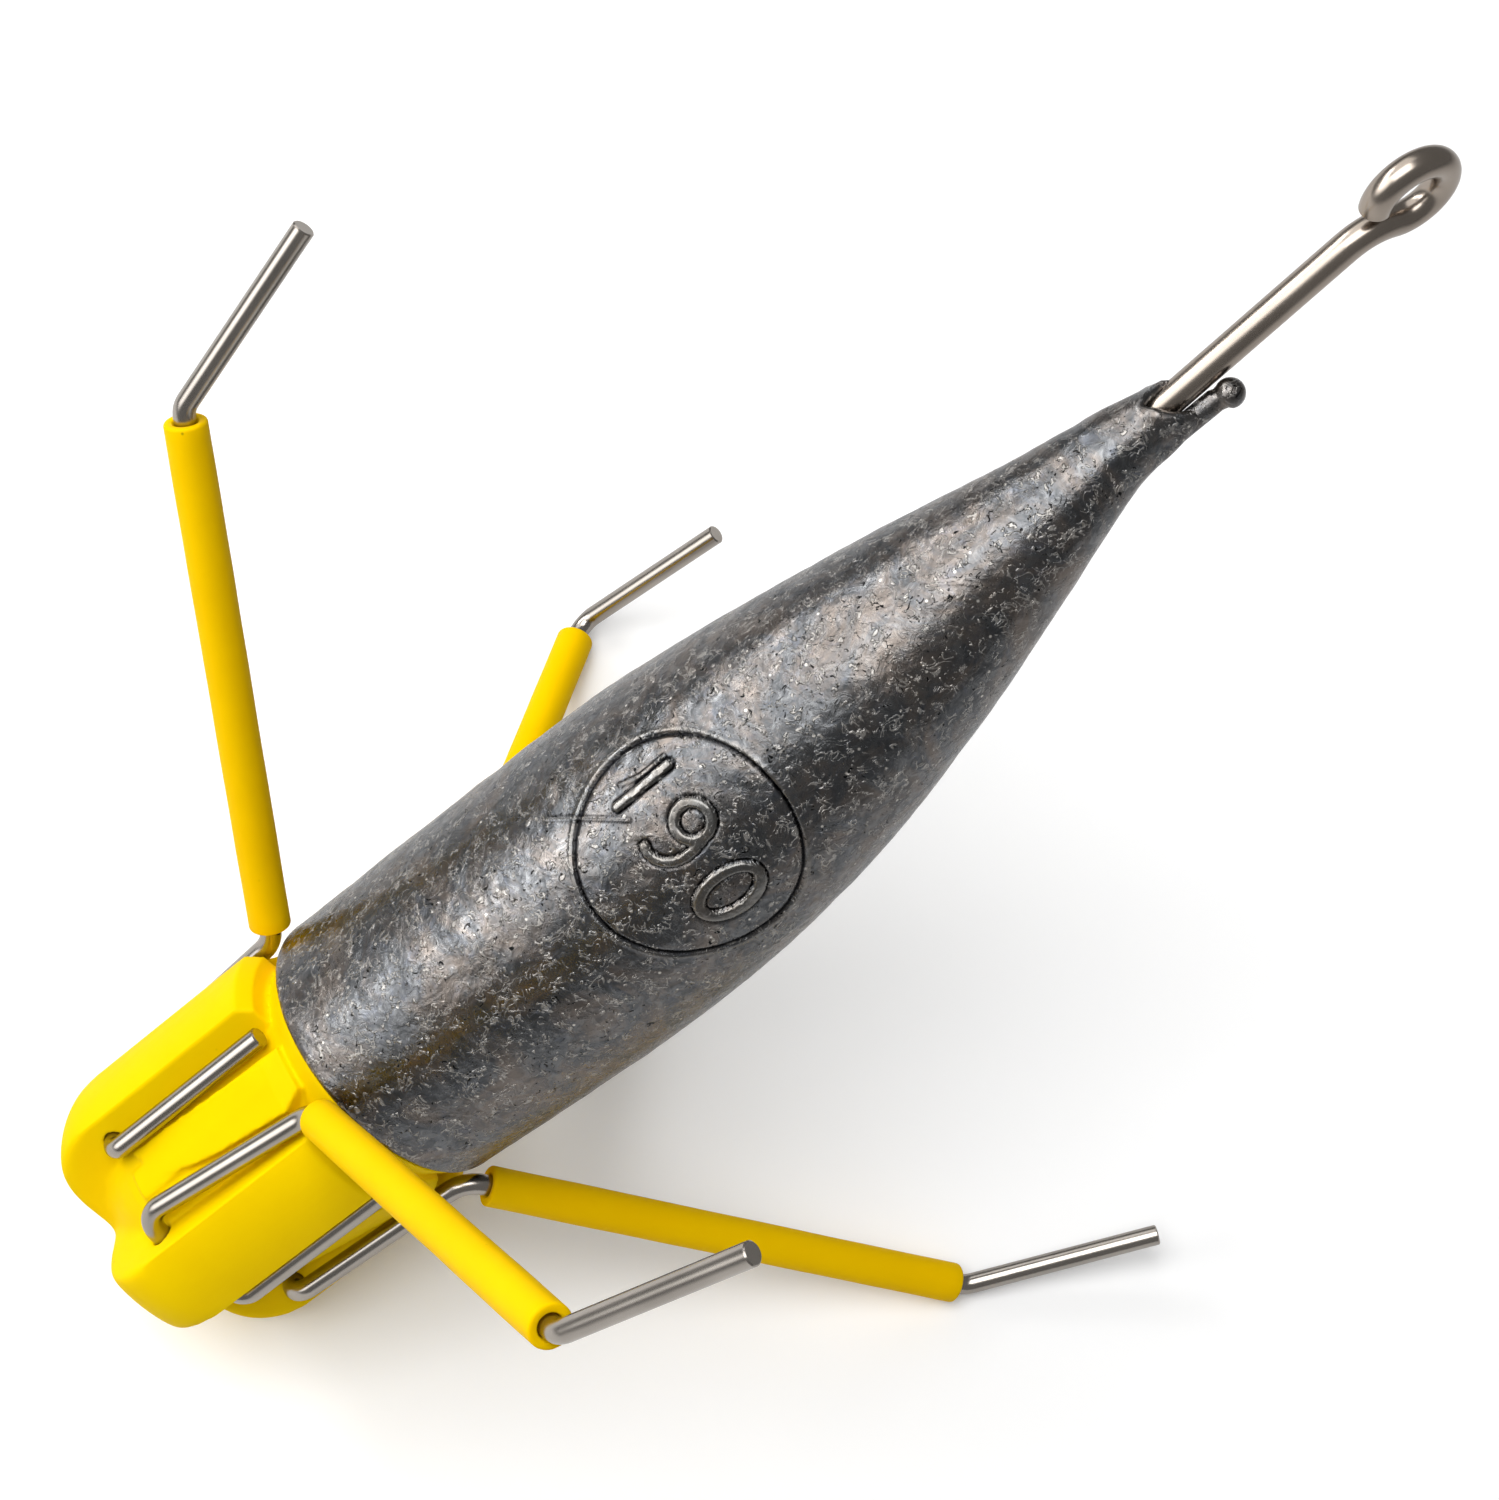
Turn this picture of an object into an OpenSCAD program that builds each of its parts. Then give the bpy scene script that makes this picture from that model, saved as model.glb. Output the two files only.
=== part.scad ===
// Surf fishing sinker with four hinged grip wires that break away under load.
// All lengths are in millimetres. The sinker rests on two sleeves and its nose.

/* [Lead] */
// length of the lead from its flat base to the end of its tail
lead_len = 70; // [50:0.5:100]
// diameter of the lead at its flat base
lead_base_d = 20.7; // [14:0.1:32]
// largest diameter of the lead
lead_belly_d = 21.4; // [15:0.1:34]
// height of the largest diameter above the base
lead_belly_z = 21; // [8:0.5:32]
// diameter of the lead where the tail wire comes out
lead_tail_d = 4.2; // [3.2:0.1:8]
// rounding of the edge of the base
lead_rim_r = 0.8; // [0.3:0.1:2]
// lean of the lead away from the line of the head, in degrees
lead_lean_angle = 1.6; // [0:0.1:4]
// direction of that lean round the head, in degrees
lead_lean_side_angle = 126; // [0:1:359]

/* [Tail wire] */
// diameter of the tail wire
tail_wire_d = 2; // [1.2:0.1:3]
// height of the anchor bend inside the lead
tail_anchor_z = 15; // [12:0.5:30]
// length of the anchor foot inside the lead
tail_foot_len = 5.5; // [3.6:0.1:8]
// straight tail wire that shows between the lead and the eye
tail_free_len = 15.1; // [6:0.1:40]
// radius of the eye to the middle of its wire
eye_r = 2.5; // [2:0.1:6]
// radius of the set-off bend below the eye
eye_neck_r = 3.7; // [2:0.1:6]
// gap that is left between the cut end of the eye and its neck
eye_gap = 0.25; // [0.1:0.05:1]
// turn of the eye about the length of the sinker, in degrees
eye_turn_angle = -4; // [-180:1:180]
// bend of the tail wire where it leaves the lead, in degrees
exit_bend_angle = 1.7; // [0:0.1:6]
// direction of that bend round the lead, in degrees
exit_side_angle = 82; // [0:1:359]

/* [Nose head] */
// length of the head from the lead to the tip of the nose
head_len = 24; // [18:0.5:36]
// diameter of the core between the lobes
core_d = 17; // [10:0.1:24]
// length of the rounded part of the core at the nose
core_dome_len = 9; // [5:0.1:14]
// diameter over the lobes
lobe_d = 22.2; // [15:0.1:34]
// width of a lobe between its two flat sides
lobe_w = 6.5; // [4:0.1:10]
// rounding of a lobe at the nose
lobe_nose_r = 4.5; // [2:0.1:7]
// bevel at the top of a lobe
lobe_bevel = 0.9; // [0.3:0.1:2]
// length of the neck between the lead and the lobes
neck_len = 2.2; // [1.4:0.1:5]
// height by which the neck is let into the base of the lead
neck_seat = 0.5; // [0.3:0.1:1.5]
// distance by which a lobe stops short of the tip of the nose
lobe_setback = 0.6; // [0:0.1:3]
// width of the ridge in each slot
ridge_w = 2.1; // [1:0.1:3]
// diameter over the ridges at their upper end
ridge_d = 19.6; // [12:0.1:28]
// length of a ridge along the head
ridge_len = 15; // [6:0.5:17]
// height of the hinge pins above the tip of the nose
pin_height = 6.7; // [3.4:0.1:9]
// distance from the middle of the head to a hinge pin
pin_radius = 8.5; // [5:0.1:11]
// diameter of the spigot that the lead is cast round
spigot_d = 8; // [4:0.1:11]
// diameter of the undercut of the spigot
spigot_neck_d = 5.6; // [3:0.1:8]
// length of the spigot inside the lead
spigot_len = 9; // [5:0.5:12]
// diameter of the cross hole that the lead fills
spigot_hole_d = 2.6; // [1:0.1:4]

/* [Grip wires] */
// diameter of a grip wire
wire_d = 1.5; // [0.9:0.1:2]
// radius of the bend at the free leg, to the middle of the wire
free_bend_r = 1.05; // [0.9:0.05:2]
// radius of the bend at the long leg, to the middle of the wire
long_bend_r = 1.8; // [1:0.05:3]
// length of the free leg from the pin to its cut end
free_leg_len = 14.6; // [8:0.1:16]
// distance from the middle of the head to the bend where a wire turns outward
shoulder_radius = 9.8; // [8:0.1:14]
// distance from the base of the lead down to that bend
shoulder_drop = 1.4; // [0.8:0.1:4]
// radius of the bend where a wire turns outward
shoulder_bend_r = 2.4; // [1:0.1:5]
// length from the outward bend to the bend before the bare tip
run_len = 40.3; // [20:0.1:70]
// length of the bare tip
tip_len = 14.8; // [6:0.1:30]
// radius of the bend before the bare tip
tip_bend_r = 1.8; // [1:0.1:5]
// angle between the tail and the run of the lower wire on the left, in degrees
splay_angle_1 = 67; // [40:0.5:78]
// lean of that run toward the middle of its lobe, in degrees
lean_angle_1 = 2; // [-8:0.5:15]
// turn of its bare tip back toward the tail, in degrees
tip_turn_angle_1 = 79; // [10:1:85]
// angle between the tail and the run of the upper wire on the left, in degrees
splay_angle_2 = 52; // [40:0.5:78]
// lean of that run toward the middle of its lobe, in degrees
lean_angle_2 = -2; // [-8:0.5:15]
// turn of its bare tip back toward the tail, in degrees
tip_turn_angle_2 = 39; // [10:1:85]
// angle between the tail and the run of the upper wire on the right, in degrees
splay_angle_3 = 59.5; // [40:0.5:78]
// lean of that run toward the middle of its lobe, in degrees
lean_angle_3 = 6.5; // [-8:0.5:15]
// turn of its bare tip back toward the tail, in degrees
tip_turn_angle_3 = 43; // [10:1:85]
// angle between the tail and the run of the lower wire on the right, in degrees
splay_angle_4 = 67.5; // [40:0.5:78]
// lean of that run toward the middle of its lobe, in degrees
lean_angle_4 = 12.5; // [-8:0.5:15]
// turn of its bare tip back toward the tail, in degrees
tip_turn_angle_4 = 38; // [10:1:85]

/* [Sleeves] */
// outside diameter of a sleeve
sleeve_d = 2.9; // [2.3:0.1:5]

/* [Clearances] */
// gap between a hinge pin and its hole, all round
pin_clear = 0.07; // [0.03:0.01:0.1]
// gap between a wire and the bore of its sleeve, all round
sleeve_clear = 0.09; // [0.03:0.01:0.1]
// free play at each end of a sleeve
sleeve_play = 0.25; // [0.1:0.05:1]
// gap between the side of a lobe and the wire beside it
flank_clear = 0.15; // [0.05:0.05:0.5]

/* [Hidden] */
$fn = 64;
// cuts run past the surface by this much
overrun = 1;
// a wire swells by this much where a bend meets a straight piece, to join them
swell = 0.01;
lead_colour = "#5E656C";
wire_colour = "#B9B6AE";
plastic_colour = "#F7CE05";
// angle between two neighbouring lobes, and the place of the first one
lobe_step_angle = 90;
lobe_start_angle = 45;
// the taper of the lead follows (1 - u * u) to this power
taper_power = 1.4;
taper_steps = 14;
belly_steps = 6;
arc_step = 10;

// heights along the sinker, with zero at the base of the lead
nose_z = -head_len;
pin_z = nose_z + pin_height;
lobe_top_z = -neck_len;
lobe_nose_z = nose_z + lobe_setback;
// height of the eye above the place where its wire leaves the lead
eye_z = tail_free_len + sqrt(eye_r * eye_r + 2 * eye_r * eye_neck_r);

// radii that follow from the diameters
lead_base_r = lead_base_d / 2;
lead_belly_r = lead_belly_d / 2;
lead_tail_r = lead_tail_d / 2;
core_r = core_d / 2;
lobe_r = lobe_d / 2;
ridge_r = ridge_d / 2;
wire_r = wire_d / 2;
sleeve_r = sleeve_d / 2;
spigot_r = spigot_d / 2;
spigot_neck_r = spigot_neck_d / 2;

// the eye: angle of its neck bend, and where its cut end stops
eye_neck_turn = acos(eye_neck_r / (eye_neck_r + eye_r));
eye_reach = eye_neck_r + tail_wire_d + eye_gap;
eye_level = (2 * eye_r * eye_r + eye_neck_r * eye_neck_r + 2 * eye_r * eye_neck_r
    - eye_reach * eye_reach) / (2 * eye_r);
eye_loop_turn = 360 - acos(eye_level / (eye_neck_r + eye_r));

// how far the two legs stand to the sides of the middle of their lobe
free_offset = lobe_w / 2 + flank_clear + free_bend_r;
long_offset = lobe_w / 2 + flank_clear + long_bend_r;
shoulder_offset = lobe_w / 2 + flank_clear + wire_r;
free_leg_z = pin_z + free_leg_len;

// the angles of each wire, in the order of the nodes
splays = [splay_angle_1, splay_angle_2, splay_angle_3, splay_angle_4];
leans = [lean_angle_1, lean_angle_2, lean_angle_3, lean_angle_4];
tip_turns = [tip_turn_angle_1, tip_turn_angle_2, tip_turn_angle_3, tip_turn_angle_4];

// points of a wire beside its lobe, as distance outward, sideways and along
function unit(v) = v / norm(v);
function heading(splay, lean) = [sin(splay) * cos(lean), sin(splay) * sin(lean), cos(splay)];
function run_dir(k) = heading(splays[k], leans[k]);
shoulder = [shoulder_radius, -shoulder_offset, -shoulder_drop];
function wire_points(k) = [
    [pin_radius, free_offset, free_leg_z],
    [pin_radius, free_offset, pin_z],
    [pin_radius, -long_offset, pin_z],
    shoulder,
    shoulder + run_len * run_dir(k),
    shoulder + run_len * run_dir(k) + tip_len * heading(splays[k] - tip_turns[k], leans[k])];
wire_bends = [free_bend_r, long_bend_r, shoulder_bend_r, tip_bend_r];

// the length that a bend takes from the straight wire on each side of it
function turn_at(p, i) =
    acos(min(1, unit(p[i] - p[i - 1]) * unit(p[i + 1] - p[i])));
function bend_take(p, i, r) = r * tan(turn_at(p, i) / 2);

// where a sleeve starts and ends on its run
function sleeve_from(k) =
    bend_take(wire_points(k), 3, shoulder_bend_r) + sleeve_play;
function sleeve_to(k) =
    run_len - bend_take(wire_points(k), 4, tip_bend_r) - sleeve_play;

// how far a point or a direction reaches down when the sinker is rolled and tilted
function turned(p, a) =
    [p[0] * cos(a) - p[1] * sin(a), p[0] * sin(a) + p[1] * cos(a), p[2]];
function lobe_angle(k) = lobe_start_angle + k * lobe_step_angle;
function down(p, k, roll, tilt) =
    turned(p, lobe_angle(k) + roll)[0] * cos(tilt) - p[2] * sin(tilt);
function sleeve_drop(k, roll, tilt) =
    down(shoulder + sleeve_to(k) * run_dir(k), k, roll, tilt)
        + sleeve_r * sqrt(1 - pow(down(run_dir(k), k, roll, tilt), 2));
lobe_arc_r = lobe_r - lobe_nose_r;
lobe_arc_z = lobe_nose_z + lobe_nose_r;
function lobe_point(a, side) = let(r = lobe_arc_r + lobe_nose_r * cos(a))
    [sqrt(r * r - side * side), side, lobe_arc_z - lobe_nose_r * sin(a)];
function nose_drop(roll, tilt) = max([for (k = [0, 3], s = [-1, 1], a = [0:2:90])
    down(lobe_point(a, s * lobe_w / 2), k, roll, tilt)]);
// how far the searches for the rest pose reach, and how often they halve that
roll_limit_angle = 40;
tilt_limit_angle = 80;
halvings = 24;
// the roll at which the two lower sleeves end at one height
function find_roll(tilt, low, high, left) = let(mid = (low + high) / 2)
    left == 0 ? mid : sleeve_drop(0, mid, tilt) > sleeve_drop(3, mid, tilt)
        ? find_roll(tilt, mid, high, left - 1) : find_roll(tilt, low, mid, left - 1);
function level(tilt) = find_roll(tilt, -roll_limit_angle, roll_limit_angle, halvings);
// the tilt at which the nose touches the floor with them
function find_tilt(low, high, left) = let(mid = (low + high) / 2, r = level(mid))
    left == 0 ? mid : sleeve_drop(0, r, mid) > nose_drop(r, mid)
        ? find_tilt(mid, high, left - 1) : find_tilt(low, mid, left - 1);
tilt = find_tilt(0, tilt_limit_angle, halvings);
roll = level(tilt);

// the row's frame: floor at zero, tail toward plus x
function laid(p) = let(q = turned(p, roll))
    [q[0] * sin(tilt) + q[2] * cos(tilt), q[1],
        -q[0] * cos(tilt) + q[2] * sin(tilt)];
// a point leaned toward one side, a point of the lead, and one above the wire's exit
function leaned(p, lean, side) = let(q = turned(p, -side))
    turned([q[0] * cos(lean) + q[2] * sin(lean), q[1], q[2] * cos(lean) - q[0] * sin(lean)], side);
function on_lead(p) = leaned(p, lead_lean_angle, lead_lean_side_angle);
function from_exit(p) =
    on_lead([0, 0, lead_len] + leaned(p, exit_bend_angle, exit_side_angle));
function tip_end(k) = laid(turned(wire_points(k)[5], lobe_angle(k)));
nose_reach = max([for (k = [0:3], s = [-1, 1], a = [0:2:90])
    -laid(turned(lobe_point(a, s * lobe_w / 2), lobe_angle(k)))[0]]);
eye_axis = laid(on_lead(leaned(turned([0, 1, 0], eye_turn_angle),
    exit_bend_angle, exit_side_angle)));
eye_far = laid(from_exit([0, 0, eye_z]))[0]
    + eye_r * sqrt(1 - eye_axis[0] * eye_axis[0]) + tail_wire_d / 2;
tip_sides = [for (k = [0:3]) tip_end(k)[1]];
shift = [(nose_reach - eye_far) / 2, -(max(tip_sides) + min(tip_sides)) / 2,
    sleeve_drop(0, roll, tilt)];

module lay() {
    translate(shift)
        rotate([0, 90 - tilt, 0])
            rotate([0, 0, roll])
                children();
}

module lean(angle, side) {
    rotate([0, 0, side])
        rotate([0, angle, 0])
            rotate([0, 0, -side])
                children();
}

module on_lead() {
    lean(lead_lean_angle, lead_lean_side_angle)
        children();
}

module at_lobe(k) {
    rotate([0, 0, lobe_angle(k)])
        children();
}

// a straight piece of wire from one point to another
module rod(a, b, d) {
    v = b - a;
    translate(a)
        rotate([0, acos(v[2] / norm(v)), atan2(v[1], v[0])])
            cylinder(h = norm(v), d = d);
}

// a round bend of wire at point p, coming along u and leaving along v
module elbow(p, u, v, r, d) {
    turn = acos(u * v);
    c = p + unit(v - u) * r / cos(turn / 2);
    x = (p - u * r * tan(turn / 2) - c) / r;
    z = cross(x, u);
    multmatrix([[x[0], u[0], z[0], c[0]], [x[1], u[1], z[1], c[1]],
            [x[2], u[2], z[2], c[2]], [0, 0, 0, 1]])
        rotate_extrude(angle = turn)
            translate([r, 0])
                circle(d = d);
}

// the place where a bend meets a straight piece of wire
module joint(p, d) {
    translate(p)
        sphere(d = d + 2 * swell);
}

// a wire through the points p, with the radii r at the points between the ends
module bent_wire(p, r, d) {
    last = len(p) - 1;
    take = [for (i = [0:last]) i == 0 || i == last ? 0 : bend_take(p, i, r[i - 1])];
    for (i = [0:last - 1]) {
        way = unit(p[i + 1] - p[i]);
        rod(p[i] + way * take[i], p[i + 1] - way * take[i + 1], d);
    }
    for (i = [1:last - 1]) {
        u = unit(p[i] - p[i - 1]);
        v = unit(p[i + 1] - p[i]);
        elbow(p[i], u, v, r[i - 1], d);
        joint(p[i] - u * take[i], d);
        joint(p[i] + v * take[i], d);
    }
}

// lead
function lead_r(z) = z < lead_belly_z
    ? lead_base_r + (lead_belly_r - lead_base_r) * sin(90 * z / lead_belly_z)
    : lead_tail_r + (lead_belly_r - lead_tail_r)
        * pow(1 - pow((z - lead_belly_z) / (lead_len - lead_belly_z), 2), taper_power);

module lead_shape() {
    belly = [for (i = [1:belly_steps])
        let(z = lead_rim_r + (lead_belly_z - lead_rim_r) * i / belly_steps) [lead_r(z), z]];
    taper = [for (i = [1:taper_steps])
        let(z = lead_belly_z + (lead_len - lead_belly_z) * i / taper_steps) [lead_r(z), z]];
    rim = [for (a = [-90:arc_step:0])
        [lead_r(lead_rim_r) - lead_rim_r + lead_rim_r * cos(a),
            lead_rim_r + lead_rim_r * sin(a)]];
    rotate_extrude()
        polygon(concat([[0, 0]], rim, belly, taper, [[0, lead_len]]));
}

module lead_body() {
    color(lead_colour)
        lay()
            difference() {
                on_lead()
                    lead_shape();
                spigot();
                core();
                on_lead()
                    tail_wire_shape();
            }
}

// tail wire with its anchor foot and its eye
module eye_shape() {
    cylinder(h = tail_free_len, d = tail_wire_d);
    joint([0, 0, tail_free_len], tail_wire_d);
    translate([eye_neck_r, 0, tail_free_len])
        rotate([90, eye_neck_turn - 180, 0])
            rotate_extrude(angle = eye_neck_turn)
                translate([eye_neck_r, 0])
                    circle(d = tail_wire_d);
    translate([0, 0, eye_z]) {
        joint([eye_r * cos(eye_neck_turn), 0, -eye_r * sin(eye_neck_turn)], tail_wire_d);
        rotate([90, eye_neck_turn, 0])
            rotate_extrude(angle = eye_loop_turn)
                translate([eye_r, 0])
                    circle(d = tail_wire_d);
    }
}

module tail_wire_shape() {
    bent_wire([[tail_foot_len, 0, tail_anchor_z], [0, 0, tail_anchor_z], [0, 0, lead_len]],
        [tail_wire_d], tail_wire_d);
    joint([0, 0, lead_len], tail_wire_d);
    translate([0, 0, lead_len])
        lean(exit_bend_angle, exit_side_angle)
            rotate([0, 0, eye_turn_angle])
                eye_shape();
}

module tail_wire() {
    color(wire_colour)
        lay()
            on_lead()
                tail_wire_shape();
}

// moulded head
module spigot() {
    difference() {
        rotate_extrude()
            polygon([[0, 0], [spigot_r, 0], [spigot_neck_r, spigot_len / 4],
                [spigot_neck_r, spigot_len / 2], [spigot_r, spigot_len * 3 / 4],
                [spigot_r, spigot_len], [0, spigot_len]]);
        translate([0, 0, spigot_len / 2])
            rotate([90, 0, 0])
                cylinder(h = 2 * spigot_d, d = spigot_hole_d, center = true);
    }
}

module core() {
    dome = [for (a = [0:arc_step:90])
        [core_r * sin(a), nose_z + core_dome_len * (1 - cos(a))]];
    rotate_extrude()
        polygon(concat([[0, neck_seat]], dome, [[core_r, neck_seat]]));
}

// a pair of bars across the head, to cut a ring into lobes or ridges
module bars(w) {
    for (k = [0:1])
        at_lobe(k)
            translate([0, 0, nose_z / 2])
                cube([lobe_d + 2 * overrun, w, head_len + 2 * overrun], center = true);
}

module lobes() {
    nose = [for (a = [90:-arc_step:0])
        [lobe_arc_r + lobe_nose_r * cos(a), lobe_arc_z - lobe_nose_r * sin(a)]];
    intersection() {
        rotate_extrude()
            polygon(concat([[0, lobe_nose_z]], nose, [[lobe_r, lobe_top_z - lobe_bevel],
                [lobe_r - lobe_bevel, lobe_top_z], [0, lobe_top_z]]));
        bars(lobe_w);
    }
}

module ridges() {
    intersection() {
        rotate_extrude()
            polygon([[0, lobe_top_z - ridge_len], [core_r, lobe_top_z - ridge_len],
                [ridge_r, lobe_top_z - lobe_bevel], [core_r, lobe_top_z],
                [0, lobe_top_z]]);
        rotate([0, 0, lobe_step_angle / 2])
            bars(ridge_w);
    }
}

module nose_head() {
    color(plastic_colour)
        lay()
            difference() {
                union() {
                    core();
                    lobes();
                    ridges();
                    spigot();
                }
                for (k = [0:3])
                    at_lobe(k)
                        translate([pin_radius, 0, pin_z])
                            rotate([90, 0, 0])
                                cylinder(h = lobe_w + 2 * overrun,
                                    d = wire_d + 2 * pin_clear, center = true);
            }
}

module grip_wire(k) {
    color(wire_colour)
        lay()
            at_lobe(k)
                bent_wire(wire_points(k), wire_bends, wire_d);
}

module wire_sleeve(k) {
    from = sleeve_from(k);
    long = sleeve_to(k) - from;
    color(plastic_colour)
        lay()
            at_lobe(k)
                translate(shoulder)
                    rotate([0, splays[k], leans[k]])
                        translate([0, 0, from])
                            difference() {
                                cylinder(h = long, d = sleeve_d);
                                translate([0, 0, -overrun])
                                    cylinder(h = long + 2 * overrun,
                                        d = wire_d + 2 * sleeve_clear);
                            }
}

lead_body();
tail_wire();
nose_head();
grip_wire(0);  // grip_wire_1
grip_wire(1);  // grip_wire_2
grip_wire(2);  // grip_wire_3
grip_wire(3);  // grip_wire_4
wire_sleeve(0);  // wire_sleeve_1
wire_sleeve(1);  // wire_sleeve_2
wire_sleeve(2);  // wire_sleeve_3
wire_sleeve(3);  // wire_sleeve_4
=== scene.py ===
"""Looks of a surf fishing sinker: cast lead, moulded head, spring wires and sleeves."""
import math

import bpy
from mathutils import Matrix, Vector, noise

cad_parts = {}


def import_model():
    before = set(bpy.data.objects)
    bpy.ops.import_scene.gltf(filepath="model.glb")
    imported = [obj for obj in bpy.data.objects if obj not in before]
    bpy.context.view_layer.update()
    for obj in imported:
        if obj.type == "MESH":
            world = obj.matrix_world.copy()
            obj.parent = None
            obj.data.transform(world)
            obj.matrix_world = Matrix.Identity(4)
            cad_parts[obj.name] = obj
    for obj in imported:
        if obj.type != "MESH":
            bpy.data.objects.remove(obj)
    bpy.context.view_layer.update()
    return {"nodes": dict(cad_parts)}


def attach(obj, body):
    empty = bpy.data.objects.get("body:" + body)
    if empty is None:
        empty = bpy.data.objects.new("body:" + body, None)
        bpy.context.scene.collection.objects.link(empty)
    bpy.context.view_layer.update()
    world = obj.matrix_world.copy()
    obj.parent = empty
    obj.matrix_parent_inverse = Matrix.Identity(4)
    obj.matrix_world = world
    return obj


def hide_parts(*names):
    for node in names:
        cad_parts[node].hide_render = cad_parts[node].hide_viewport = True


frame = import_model()

MM = 0.001

# how the sinker lies on the floor, as in the part's source
TILT = math.radians(37.3149)
ROLL = math.radians(-0.535052)
SHIFT = (-25.5952, -0.806203, 20.4331)


def turn_z(degrees):
    """A turn about the length of the sinker, in degrees."""
    return Matrix.Rotation(math.radians(degrees), 4, "Z")


def lean(degrees, side):
    """A lean toward one side of the sinker, in degrees."""
    return turn_z(side) @ Matrix.Rotation(math.radians(degrees), 4, "Y") @ turn_z(-side)


# how many degrees the lead leans on the head and the wire on the lead, and to which side
LEAD_LEAN, WIRE_LEAN = (1.6, 126), (1.7, 82)
# the turn of the eye about its wire, in degrees
EYE_TURN = -4

# the place of the head, and of the lead that leans a little on it
LAY = (Matrix.Translation(Vector(SHIFT) * MM)
       @ Matrix.Rotation(math.pi / 2 - TILT, 4, "Y") @ Matrix.Rotation(ROLL, 4, "Z"))
ON_LEAD = LAY @ lean(*LEAD_LEAN)

# sizes of the sinker in millimetres, along its own length, with zero at the base of the lead
LEAD_LEN, BASE_R, BELLY_R, BELLY_Z, TAIL_R, RIM_R = 70, 10.35, 10.7, 21, 2.1, 0.8
# how far the middle of the lead bows out, and to which side in degrees
BOW, BOW_SIDE = 1.3, 290
# a grip wire: its pin's place, the length of its free leg, and the places of both legs beside the lobe
PIN_R, PIN_Z, FREE_LEG = 8.5, -17.3, 14.6
FREE_SIDE, LONG_SIDE = 4.45, 5.2
# the corner where the long leg turns outward, and the bend radii from the free leg to the tip
SHOULDER = Vector((9.8, -4.15, -1.4))
WIRE_BENDS = (1.05, 1.8, 2.4, 1.8)
RUN_LEN, TIP_LEN = 40.3, 14.8
WIRE_D, TAIL_WIRE_D, SLEEVE_D, BORE_D = 1.5, 2.0, 2.9, 1.68
# the angles that differ from wire to wire, in degrees: out from the lead, sideways, and back at the tip
SPLAY = (67, 52, 59.5, 67.5)
LEAN = (2, -2, 6.5, 12.5)
TIP_TURN = (79, 39, 43, 38)
SLEEVE_PLAY = 0.25


def hex_colour(code):
    """An sRGB hex colour as linear light."""
    shares = [int(code[i:i + 2], 16) / 255 for i in (1, 3, 5)]
    return [s / 12.92 if s <= 0.04045 else ((s + 0.055) / 1.055) ** 2.4 for s in shares] + [1]


def per_mm(size):
    """The scale of a pattern whose features are this many millimetres apart."""
    return 1 / (size * MM)


def add(tree, kind, settings=None, inputs=None):
    """Adds a node with its settings; an input is a value or the socket that feeds it."""
    made = tree.nodes.new("ShaderNode" + kind)
    for name, value in (settings or {}).items():
        setattr(made, name, value)
    for name, value in (inputs or {}).items():
        socket = made.inputs[name]
        if isinstance(value, bpy.types.NodeSocket):
            tree.links.new(value, socket)
        else:
            socket.default_value = value
    return made


def ramp(tree, fac, stops):
    """A colour ramp over fac from (place, hex or grey) stops."""
    made = add(tree, "ValToRGB", None, {0: fac})
    row = made.color_ramp.elements
    while len(row) < len(stops):
        row.new(1)
    for element, (place, colour) in zip(row, stops):
        element.position = place
        element.color = hex_colour(colour) if isinstance(colour, str) else [colour] * 3 + [1]
    return made.outputs[0]


def times(tree, a, b):
    """The product of two values."""
    return add(tree, "Math", {"operation": "MULTIPLY"}, {0: a, 1: b}).outputs[0]


def blend(tree, kind, fac, a, b):
    """Mixes colour b into colour a."""
    return add(tree, "Mix", {"data_type": "RGBA", "blend_type": kind}, {0: fac, 6: a, 7: b}).outputs[2]


def finish(name, **sockets):
    """A new material with a Principled shader; returns its tree, shader and place coordinates."""
    material = bpy.data.materials.new(name)
    material.use_nodes = True
    tree = material.node_tree
    shader = tree.nodes["Principled BSDF"]
    for socket, value in sockets.items():
        shader.inputs[socket.replace("_", " ")].default_value = value
    return material, tree, shader, add(tree, "TexCoord").outputs["Object"]


def grain(tree, place, size, detail=2.0, distortion=0.0, rough=0.5):
    """Cloudy noise whose features are size millimetres apart."""
    return add(tree, "TexNoise", None, {
        "Vector": place, "Scale": per_mm(size), "Detail": detail,
        "Roughness": rough, "Distortion": distortion}).outputs[0]


def bump(tree, height, depth, before=None):
    """A bump that is depth millimetres from the lowest to the highest of its pattern."""
    inputs = {"Strength": 1.0, "Distance": depth * MM, "Height": height}
    if before is not None:
        inputs["Normal"] = before
    return add(tree, "Bump", None, inputs).outputs[0]


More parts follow.
